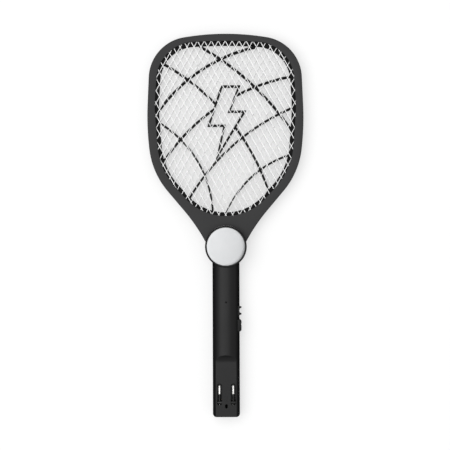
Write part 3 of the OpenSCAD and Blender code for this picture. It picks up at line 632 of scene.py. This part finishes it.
def expanded_sheet(border, z, thickness):
    """The strands of an expanded-metal sheet and its plain border, round the middle height z."""
    border_w, twist = 1.4, 0.12
    strand_w, strand_t = STRAND_W * 0.94, thickness * 0.55
    # Strands of the two directions lie at slightly different heights, so their faces don't coincide.
    apart = 0.03
    angles = np.linspace(-math.pi, math.pi, 2000, endpoint=False)
    distances = reach(grown(OPENING, border - border_w / 2), angles)

    def within(p):
        """Does a point lie inside the middle line of the border?"""
        offset = p[:2] - HEAD_CENTRE
        angle = math.atan2(offset[1], offset[0])
        return np.linalg.norm(offset) < np.interp(angle, angles, distances, period=2 * math.pi)

    shapes = []
    columns = math.ceil(HEAD_HALF_W / DIAMOND_A)
    rows = math.ceil(RACKET_L / 4 / DIAMOND_B)
    top_bond = RACKET_L - 9.5
    for i in range(-columns, columns + 1):
        for j in range(-rows - 1, rows + 2):
            if (i + j) % 2 == 0:
                continue
            bond = np.array([i * DIAMOND_A, top_bond + (j - rows + 1) * DIAMOND_B, z])
            for side in (-1, 1):
                other = bond + [side * DIAMOND_A, DIAMOND_B, 0]
                ends = clipped(bond, other, within)
                if ends is None:
                    continue
                lift = np.array([0, 0, side * apart])
                shapes.append(strand(ends[0] + lift, ends[1] + lift, strand_w, strand_t, twist))
    outer, inner = border, border - border_w
    low, high = z - thickness / 2, z + thickness / 2
    shapes.append(loft([opening_ring(outer, low), opening_ring(outer, high),
                        opening_ring(inner, high), opening_ring(inner, low)], wrap=True))
    return shapes


def clipped(a, b, within):
    """The part of a segment that lies within an edge, or None."""
    a_in, b_in = within(a), within(b)
    if not a_in and not b_in:
        return None
    if a_in and b_in:
        return a, b
    low, high = 0.0, 1.0
    for _ in range(12):
        middle = (low + high) / 2
        if within(a + (b - a) * middle) == a_in:
            low = middle
        else:
            high = middle
    cut = a + (b - a) * low
    return (a, cut) if a_in else (cut, b)


def net(name, node, tab_x, border, slot):
    """An outer net or the charged grid, with its solder tab at the neck."""
    low, high = box_mm(node)
    tab_half, tab_y0 = 2, 267.2
    tab_y1 = 274 if border > 0 else 282
    tab = prism(rounded([(tab_x - tab_half, tab_y0, 0.6), (tab_x + tab_half, tab_y0, 0.6),
                         (tab_x + tab_half, tab_y1, 0), (tab_x - tab_half, tab_y1, 0)], 6),
                low.z, high.z)
    shapes = expanded_sheet(border, (low.z + high.z) / 2, high.z - low.z)
    as_piece(solid(name, tab, *shapes), [node], slot)


def circle_through(a, b, c):
    """Centre and radius of the circle through three points."""
    (ax, ay), (bx, by), (cx, cy) = a, np.subtract(b, a), np.subtract(c, a)
    d = 2 * (bx * cy - by * cx)
    u = np.array([cy * (bx * bx + by * by) - by * (cx * cx + cy * cy),
                  bx * (cx * cx + cy * cy) - cx * (bx * bx + by * by)]) / d
    return np.array([ax, ay]) + u, np.linalg.norm(u)


# Each rib is an arc through its two ends and a point between them.
GUARD_RIBS = [
    ((-33, 512), (23, 473), (92, 396)),
    ((41, 512), (-33, 481), (-91, 426)),
    ((-87, 490), (-44, 461), (59, 314)),
    ((-93, 408), (-42, 359), (-18, 285)),
    ((-87, 352), (-20, 423), (90, 471)),
    ((89, 426), (5, 371), (-50, 303)),
    ((88, 362), (34, 330), (1, 282)),
]
# Outline of the zigzag sign in the guards' middle.
BOLT = np.array([(-6, 459), (21, 459), (7, 424), (29, 424), (-14, 354), (-3, 402), (-25, 402)], float)


def rib_path(points, overrun=3, spacing=2):
    """Points along the arc through a rib's two ends and a point between, run on at both ends."""
    centre, radius = circle_through(*points)
    angles = [math.atan2(y - centre[1], x - centre[0]) for x, y in points]
    first = (angles[1] - angles[0] + math.pi) % (2 * math.pi) - math.pi
    way = math.copysign(1, first)
    sweep = way * ((way * (angles[2] - angles[0])) % (2 * math.pi))
    over = way * overrun / radius
    steps = round(abs(sweep + 2 * over) * radius / spacing)
    turns = angles[0] - over + (sweep + 2 * over) * np.arange(steps + 1) / steps
    return centre + radius * np.stack([np.cos(turns), np.sin(turns)], axis=1), centre


def rib_section(top, rounding=0.45):
    """Cross-section of a rib as (across, height), with rounded upper edges."""
    half = RIB_W / 2
    return rounded([(-half, top - RIB_DEPTH, 0), (half, top - RIB_DEPTH, 0),
                    (half, top, rounding), (-half, top, rounding)], 4)


def rib_shapes(points, top):
    """A curved rib, left out where it would cross the zigzag sign."""
    path, centre = rib_path(points)
    free = [not inside(p, grown(BOLT, -0.8)) for p in path]
    shapes, run = [], []
    for p, keep in list(zip(path, free)) + [(None, False)]:
        if keep:
            run.append(p)
            continue
        if len(run) > 1:
            rings = []
            for q in run:
                out = (q - centre) / np.linalg.norm(q - centre)
                rings.append(np.array([(*(q + out * x), h) for x, h in rib_section(top)]))
            shapes.append(loft(rings))
        run = []
    return shapes


def band_along(outline, width, low, high, rounding):
    """A wall that follows the inside of a closed outline, with rounded upper edges."""
    rise = edge_steps(low, high, rounding, 3)
    levels = [(0, low)] + rise
    levels += [(width - inset, z) for inset, z in rise[::-1]] + [(width, low)]
    return loft(raised(outline, levels), wrap=True)


def guard(name, node, side):
    """Ring and ribs that hold a net off the charged grid, from the mid-plane outwards."""
    foot, top, flange, wall, soft = 0.5, GUARD_H, 1.6, 2, 0.5
    rings = [opening_ring(SHEET_MARGIN, foot)]
    rings += [opening_ring(SHEET_MARGIN - inset, h) for inset, h in edge_steps(foot, top, 0.3, 2)]
    rings += [opening_ring(inset - RING_REACH, h)
              for inset, h in edge_steps(foot, top, soft, 4)[::-1]]
    rings += [opening_ring(-RING_REACH, foot), opening_ring(wall - RING_REACH, foot),
              opening_ring(wall - RING_REACH, top - flange),
              opening_ring(SHEET_MARGIN - wall, top - flange),
              opening_ring(SHEET_MARGIN - wall, foot)]
    shapes = [loft(rings, wrap=True)]
    # Each rib is a hair lower than the one before, so that crossing ribs share no top face.
    hair = 0.02
    for level, points in enumerate(GUARD_RIBS):
        shapes += rib_shapes(points, top - (level + 2) * hair)
    shapes.append(band_along(BOLT, RIB_W, top - RIB_DEPTH, top - hair, 0.4))
    as_piece(solid(name, *[flipped(s, side) for s in shapes]), [node], "guard_plastic")


# ---------------------------------------------------------------- handle

def power_of(v, p):
    """A power that keeps the sign of its base."""
    return np.sign(v) * np.abs(v) ** p


def soft_min(a, b, blend):
    """The smaller of two values, rounded off where they meet."""
    h = np.maximum(blend - np.abs(a - b), 0) / blend
    return np.minimum(a, b) - h * h * blend / 4


def section_angles():
    """Angles round the handle's section, with three close together at each parting seam."""
    even = np.linspace(0, 2 * math.pi, 216, endpoint=False)
    near = math.radians(0.36)
    return np.sort(np.concatenate([even, [near, 2 * math.pi - near, math.pi - near, math.pi + near]]))


def scoop_top(y, grow):
    """Height at which the plug area and the thumb scoop cut the handle's crown."""
    if y <= PLUG_FLAT_L:
        return PLUG_FLAT_Z - grow
    drop = (SCOOP_R + grow) ** 2 - (y - PLUG_FLAT_L) ** 2
    return PLUG_FLAT_Z + SCOOP_R - math.sqrt(drop) if drop > 0 else HANDLE_T * 2


def handle_ring(y, inset, angles):
    """One section of the handle: a squared-off ellipse cut by the scoop, the butt and the back."""
    butt_round = 1.2
    depth = y - inset
    edge = inset
    if inset == 0 and depth < butt_round:
        edge += butt_round - math.sqrt(butt_round ** 2 - (butt_round - depth) ** 2)
    half_t = np.where(np.sin(angles) > -1e-9, HANDLE_T - PART_Z, PART_Z + BACK_BULGE)
    x = (HANDLE_HALF_W - edge) * power_of(np.cos(angles), 2 / SECTION_POWER)
    z = PART_Z + (half_t - edge) * power_of(np.sin(angles), 2 / SECTION_POWER)
    x_limit = HANDLE_HALF_W - BUTT_CUT + depth - (edge - inset)
    x = np.sign(x) * soft_min(np.abs(x), x_limit, 0.8)
    if inset == 0:
        x -= np.sign(x) * SEAM * np.maximum(0, 1 - np.abs(z - PART_Z) / SEAM)
    z = soft_min(z, scoop_top(y, edge), 0.7)
    z = -soft_min(-z, -(edge + FLAT_BACK_Z), 0.5)
    return np.stack([x, np.full(len(x), y), z], axis=1)


def handle_shape(inset):
    """The handle from the butt end to the hub's centre, in closer steps where it curves along Y."""
    butt = inset + np.array([0, 0.05, 0.15, 0.35, 0.6, 0.9, 1.2, 1.6, 2, 2.4, 2.8, 3.1, 3.4, 3.8,
                             4.4, 5.2])
    scoop = np.arange(PLUG_FLAT_L - 1, PLUG_FLAT_L + 13, 0.35)
    plain = [y for y in np.arange(10, HUB_Y, 8) if not scoop[0] - 2 < y < scoop[-1] + 2]
    stations = np.unique(np.concatenate([butt, plain, scoop, [HUB_Y]]))
    angles = section_angles()
    return loft([handle_ring(y, inset, angles) for y in stations])


def hub_shape(inset):
    """The round hub under the badge."""
    r, bevel = HUB_R - inset, 1.5
    corners = [(0, inset), (r - bevel, inset, 0.6), (r, bevel + inset, 0.6)]
    if inset == 0:
        corners += [(r, PART_Z - SEAM), (r - SEAM, PART_Z), (r, PART_Z + SEAM)]
    corners += [(r, HUB_T - inset, 0.4), (0, HUB_T - inset)]
    return lathe(rounded(corners, 4, closed=False), at=(0, HUB_Y, 0), steps=180)


def handle_skin():
    """Both shells as one hollow body, with the openings for the tang and the controls."""
    outside = combine(solid("skin", handle_shape(0)), "UNION", cutter(hub_shape(0)))
    hollow = combine(solid("hollow", handle_shape(SHELL_WALL)), "UNION",
                     cutter(hub_shape(SHELL_WALL)))
    tang_way = cutter(box((-19.1, HUB_Y, 2.3), (19.1, HUB_Y + HUB_R + 1, 19.7)))
    knob_way = cutter(box((11.5, 136.6, 12.2), (30, 153.6, 24.3)))
    button_way = cutter(box((11.6, 117.4, 11.2), (30, 135.1, 24.8)))
    butt_seam = cutter(box((-14, -1, PART_Z - 0.15), (14, 0.25, PART_Z + 0.15)))
    return combine(outside, "DIFFERENCE", hollow, tang_way, knob_way, button_way, butt_seam)


def flared_slot(outline, low, top):
    """Cutter for a slot down from a flat face, with a small chamfer round its mouth."""
    chamfer = 0.3
    return cutter(loft(raised(outline, [(0, low), (0, top - chamfer), (-chamfer - 1, top + 1)])))


def half_space(above):
    """A block that holds all of the handle above or below the parting line."""
    low, high = (PART_Z, 60) if above else (-60, PART_Z)
    return cutter(box((-60, -20, low), (60, 300, high)))


def front_shell(skin):
    """Front half of the skin, with bosses, hinge ears, trays under the pins, and its openings."""
    combine(skin, "INTERSECT", half_space(True))
    ear_x0, ear_x1, ear_half, ear_top = 13, 15.2, 4, 24.6
    walls = []
    for x, y in HANDLE_SCREWS:
        top = PLUG_FLAT_Z - 1 if y < PLUG_FLAT_L else HANDLE_T - 1
        boss = disc_profile(FRONT_BOSS_R, PART_Z + 0.02, top)
        walls.append(solid("boss", lathe(boss, at=(x, y, 0), steps=48)))
    for side in (-1, 1):
        x0, x1 = sorted((side * ear_x0, side * ear_x1))
        walls.append(solid("ear", box((x0, HINGE_Y - ear_half, HINGE_Z - ear_half),
                                      (x1, HINGE_Y + ear_half, ear_top))))
        walls.append(pin_pocket(side * PIN_X))
    combine(skin, "UNION", *walls)
    outlines = [slot_outline(SLOT_W, SLOT_Y0, SLOT_Y1, side * PIN_X) for side in (-1, 1)]
    outlines.append(slot_outline(WINDOW_W, WINDOW_Y0, WINDOW_Y1))
    cutters = [flared_slot(outline, CUT_LOW, PLUG_FLAT_Z) for outline in outlines]
    cutters += fold_arrows()
    light_way = [(0, 20), (1, 20), (1, 30.85), (1.6, 31.4), (0, 31.4)]
    cutters.append(cutter(lathe(light_way, at=(0, POWER_LIGHT_Y, 0), steps=48)))
    bearing = disc_profile(JOURNAL_R + 0.05, -JOURNAL_END - 0.2, JOURNAL_END + 0.2)
    cutters.append(cutter(lathe(bearing, "X", (0, HINGE_Y, HINGE_Z), 48)))
    pilot = disc_profile(PILOT_R, PART_Z - 1, PART_Z + 7)
    cutters += [cutter(lathe(pilot, at=(x, y, 0), steps=32)) for x, y in HANDLE_SCREWS]
    combine(skin, "DIFFERENCE", *cutters)
    as_piece(skin, ["front_handle_shell"], "shell_plastic", smooth=28)


def rear_shell(skin):
    """Rear half of the skin, with bosses that stay inside it and the screws' counterbores."""
    combine(skin, "INTERSECT", half_space(False))
    boss = disc_profile(REAR_BOSS_R, 1, PART_Z - 0.02)
    bosses = [solid("boss", lathe(boss, at=(x, y, 0), steps=48)) for x, y in HANDLE_SCREWS]
    for obj in bosses:
        combine(obj, "INTERSECT", solid("inside", handle_shape(0.2)))
    combine(skin, "UNION", *bosses)
    hole_top = 17
    combine(skin, "DIFFERENCE", *[screw_hole(x, y, HANDLE_SEAT_Z, PILOT_R, hole_top)
                                  for x, y in HANDLE_SCREWS])
    as_piece(skin, ["rear_handle_shell"], "shell_plastic", smooth=28)


def handle():
    """Both shells, made from two copies of one skin."""
    front = handle_skin()
    rear = solid("rear_skin")
    rear.data = front.data.copy()
    front.name = "handle_front"
    rear.name = "handle_rear"
    front_shell(front)
    rear_shell(rear)


def pin_pocket(x):
    """Tray under a pin slot, open towards the plug's carrier."""
    half_w, wall = SLOT_W / 2 + 0.3, 1
    end, top = SLOT_Y1 + 0.2, PLUG_FLAT_Z - SHELL_WALL + 0.3
    tray = solid("tray", box((x - half_w - wall, POCKET_Y0, POCKET_Z),
                             (x + half_w + wall, end + wall, top)))
    space = cutter(box((x - half_w, POCKET_Y0 - 1, POCKET_Z + wall), (x + half_w, end, top + 1)))
    return combine(tray, "DIFFERENCE", space)


def fold_arrows():
    """Cutters for two sunk chevrons between the pin slots."""
    chevron = np.array([(-2.4, 1.4), (0, 0), (2.4, 1.4), (2.4, 2.8), (0, 1.4), (-2.4, 2.8)])
    depth, spots = 0.5, (21.4, 26)
    return [cutter(prism(chevron + [0, y], PLUG_FLAT_Z - depth, PLUG_FLAT_Z + 1)) for y in spots]


def screws(name, node, spots, seat_z, shank_r, length):
    """Pan-head screws seen from the back, each with a cross recess and a threaded shank."""
    head_r, head_h = 2.5, 1.9
    root_r, pitch = shank_r * 0.72, 1.0
    face_z = seat_z - head_h
    head = rounded([(0, face_z), (head_r - 0.5, face_z + 0.05, 0.5), (head_r, face_z + 0.9, 0.4),
                    (head_r, seat_z, 0.1), (shank_r, seat_z), (shank_r, seat_z + 0.6)], 5,
                   closed=False)
    thread = []
    for k in range(int((length - 2.4) / pitch)):
        z = seat_z + 0.8 + k * pitch
        thread += [(shank_r, z), (shank_r, z + 0.25), (root_r, z + 0.45), (root_r, z + 0.8)]
    tip = [(shank_r * 0.6, seat_z + length - 1), (0, seat_z + length)]
    profile = list(head) + thread + tip
    obj = solid(name, *[lathe(profile, at=(x, y, 0), steps=40) for x, y in spots])
    # The two arms of a recess differ a little, so that they share no face.
    arms = [(0.32, 1.45, 0.95), (1.45, 0.31, 0.9)]
    recesses = [cutter(box((x - a, y - b, face_z - 1), (x + a, y + b, face_z + depth)))
                for x, y in spots for a, b, depth in arms]
    combine(obj, "DIFFERENCE", *recesses)
    as_piece(obj, [node], "screw_steel")


def badge():
    """Plain spun disc in a black bezel."""
    bezel_r, bezel_top = BADGE_R + 0.1, HUB_T + 2.3
    bezel = rounded([(bezel_r, HUB_T, 0), (HUB_R, HUB_T, 0), (HUB_R, HUB_T + 1.4, 0.4),
                     (HUB_R - 0.9, bezel_top, 0.5), (bezel_r, bezel_top, 0.3)], 6)
    as_piece(solid("badge_ring", lathe(bezel, at=(0, HUB_Y, 0), steps=180, wrap=True)),
             ["badge_bezel"], "bezel_plastic")
    crown_r, crown_h, steps = 25.6, 0.5, 8
    rim_z = BADGE_TOP - crown_h
    rim = rounded([(0, HUB_T + 0.02), (BADGE_R, HUB_T + 0.02), (BADGE_R, rim_z - 0.15, 0.45),
                   (crown_r, rim_z)], 6, closed=False)
    shares = [i / steps for i in range(steps - 1, -1, -1)]
    crown = [(crown_r * share, BADGE_TOP - crown_h * share ** 2) for share in shares]
    as_piece(solid("badge_plate", lathe(list(rim) + crown, at=(0, HUB_Y, 0), steps=180)),
             ["badge_disc"], "badge_metal")


# ---------------------------------------------------------------- controls and plug

def power_knob():
    """Slide knob: a base plate, two ridges and a hollow between them for the fingertip."""
    low, high = box_mm("power_slide_knob")
    base, ridge, hollow = 19.1, high.x, 0.7
    y0, y1 = low.y, high.y
    start, end = 0.9, 3.1    # a ridge lies between these distances from its end of the plate
    outline = rounded([
        (low.x, y0, 0.4), (base, y0, 0.5), (base, y0 + start, 0.3), (ridge, y0 + start, 0.9),
        (ridge, y0 + end, 0.9), (base, y0 + end, 0.5), (base - hollow, (y0 + y1) / 2, 5),
        (base, y1 - end, 0.5), (ridge, y1 - end, 0.9), (ridge, y1 - start, 0.9),
        (base, y1 - start, 0.3), (base, y1, 0.5), (low.x, y1, 0.4),
    ], 6)
    obj = solid("power_knob", prism(outline, low.z, high.z, 0.28, 0.28))
    as_piece(obj, ["power_slide_knob"], "control_plastic", "power_slide")


def zap_button():
    """Push button with two rounded lobes and a shallow dip between them."""
    low, high = box_mm("zap_button_cap")
    dip_y, dip_half, dip_depth = 127.8, 1.4, 0.9
    outline = rounded([
        (low.x, low.y, 0.9), (high.x, low.y, 3.6), (high.x, dip_y - dip_half, 2.4),
        (high.x - dip_depth, dip_y, 1.4), (high.x, dip_y + dip_half, 2.4), (high.x, high.y, 3.4),
        (low.x, high.y, 0.9),
    ], 8)
    obj = solid("zap_button", prism(outline, low.z, high.z, 0.7, 0.7))
    as_piece(obj, ["zap_button_cap"], "control_plastic", "zap_button")


def plug():
    """Folding mains plug: carrier bar with journals, two pins and their ribbed sleeves."""
    at = (0, HINGE_Y, HINGE_Z)
    bar_r, bar_end = 3, 12.8
    bar = rounded([(0, -JOURNAL_END), (JOURNAL_R, -JOURNAL_END, 0.3), (JOURNAL_R, -bar_end),
                   (bar_r, -bar_end, 0.3), (bar_r, bar_end, 0.3), (JOURNAL_R, bar_end),
                   (JOURNAL_R, JOURNAL_END, 0.3), (0, JOURNAL_END)], 4, closed=False)
    as_piece(solid("plug_bar", lathe(bar, "X", at, 64)), ["plug_carrier"], "insulator_plastic", "plug")
    tail, tip, neck_r = -4.85, 24.6, 1.4
    sleeve_start, sleeve_end = 2.45, 12
    bore_r, sleeve_r, groove_r = neck_r + 0.02, 1.8, 1.66
    pin = rounded([(0, tail), (neck_r, tail, neck_r * 0.98), (neck_r, sleeve_end),
                   (PIN_R, sleeve_end, 0.15), (PIN_R, tip, PIN_R * 0.98), (0, tip)], 14,
                  closed=False)
    sleeve = [(bore_r, sleeve_start), (sleeve_r, sleeve_start)]
    for y in (4.6, 6.2, 7.8):
        sleeve += [(sleeve_r, y), (groove_r, y + 0.15), (groove_r, y + 0.45), (sleeve_r, y + 0.6)]
    sleeve += [(sleeve_r, sleeve_end), (bore_r, sleeve_end)]
    pins, sleeves = [], []
    for side in (-1, 1):
        place = (side * PIN_X, HINGE_Y, HINGE_Z)
        pins.append(lathe(pin, "Y", place, 48))
        sleeves.append(lathe(sleeve, "Y", place, 48, wrap=True))
    as_piece(solid("pins", *pins), ["plug_pins"], "pin_metal", "plug")
    as_piece(solid("pin_insulation", *sleeves), ["pin_sleeves"], "insulator_plastic", "plug")


def lights_on_handle():
    """Dark window over the charge light, and the end of the power light pipe."""
    low, high = box_mm("charge_light_window")
    window = prism(slot_outline(high.x - low.x, low.y, high.y), low.z, high.z, 0, 0.35)
    as_piece(solid("charge_window", window), ["charge_light_window"], "window_dark")
    low, high = box_mm("power_light_pipe")
    pipe = disc_profile(high.x, low.z, high.z, 0, 0.4)
    as_piece(solid("light_pipe", lathe(pipe, at=(0, POWER_LIGHT_Y, 0), steps=40)),
             ["power_light_pipe"], "window_dark")


def inner_parts():
    """Gives the CAD nodes the materials of their slots in the record."""
    slots = {part["node"]: part["material_slot"] for part in frame["record"]["subparts"]}
    for node, obj in frame["nodes"].items():
        for material_slot in obj.material_slots:
            material_slot.material = MATERIALS[slots[node]]


# ---------------------------------------------------------------- stage

def floor():
    """Plain pale floor with a slight glow. Glossy faces don't mirror it, so steep sides stay dark."""
    half_l, grey, glow = 6, 0.285, 0.55
    mesh = bpy.data.meshes.new("floor")
    mesh.from_pydata([(-half_l, -half_l, 0), (half_l, -half_l, 0), (half_l, half_l, 0),
                      (-half_l, half_l, 0)], [], [(0, 1, 2, 3)])
    obj = bpy.data.objects.new("floor", mesh)
    bpy.context.collection.objects.link(obj)
    material = bpy.data.materials.new("pale_floor")
    material.use_nodes = True
    shader = material.node_tree.nodes["Principled BSDF"]
    shader.inputs["Base Color"].default_value = (grey, grey, grey, 1)
    shader.inputs["Roughness"].default_value = 0.9
    shader.inputs["Emission Color"].default_value = (1, 1, 1, 1)
    shader.inputs["Emission Strength"].default_value = glow
    mesh.materials.append(material)
    obj.visible_glossy = False


def softbox(name, place, target, size, power):
    """A round studio light that faces a point."""
    data = bpy.data.lights.new(name, "AREA")
    data.shape = "DISK"
    data.size = size
    data.energy = power
    obj = bpy.data.objects.new(name, data)
    obj.location = place
    obj.rotation_euler = (Vector(target) - Vector(place)).to_track_quat("-Z", "Y").to_euler()
    bpy.context.collection.objects.link(obj)


def studio():
    """A white sky that fades to black at the horizon, and a large soft light over the left side."""
    white_from = 0.35    # the sky is all white above this sine of the height over the horizon
    world = bpy.data.worlds.new("studio")
    world.use_nodes = True
    nodes, links = world.node_tree.nodes, world.node_tree.links
    direction = nodes.new("ShaderNodeSeparateXYZ")
    links.new(nodes.new("ShaderNodeTexCoord").outputs["Generated"], direction.inputs[0])
    rise = nodes.new("ShaderNodeMapRange")
    rise.inputs["From Min"].default_value = 0.0
    rise.inputs["From Max"].default_value = white_from
    links.new(direction.outputs["Z"], rise.inputs["Value"])
    nodes["Background"].inputs["Color"].default_value = (1, 1, 1, 1)
    links.new(rise.outputs["Result"], nodes["Background"].inputs["Strength"])
    scene = bpy.context.scene
    scene.world = world
    scene.view_settings.view_transform = "Standard"
    softbox("top_light", place=(-0.73, 0.2, 2.4), target=(0, 0, 0), size=2.66, power=58)


def camera():
    """Long lens straight above the racket's middle, turned by a fraction of a degree."""
    data = bpy.data.cameras.new("camera")
    data.lens = 120
    data.sensor_width = 36
    obj = bpy.data.objects.new("camera", data)
    obj.location = (-0.0011, 0.0003, 2.097)
    obj.rotation_euler = (0, 0, math.radians(-0.2))
    bpy.context.collection.objects.link(obj)
    bpy.context.scene.camera = obj


inner_parts()
front_frame()
rear_frame()
net("net_front", "front_net", -8, NET_BORDER, "net_metal")
net("net_rear", "rear_net", 8, NET_BORDER, "net_metal")
net("grid", "charged_grid", 0, GRID_BORDER, "grid_metal")
guard("guard_front", "front_guard", 1)
guard("guard_rear", "rear_guard", -1)
handle()
screws("screws_frame", "frame_screws", FRAME_SCREWS, FRAME_SEAT_Z, shank_r=1.1, length=14)
screws("screws_handle", "handle_screws", HANDLE_SCREWS, HANDLE_SEAT_Z, shank_r=1.3, length=12)
badge()
power_knob()
zap_button()
plug()
lights_on_handle()
floor()
studio()
camera()
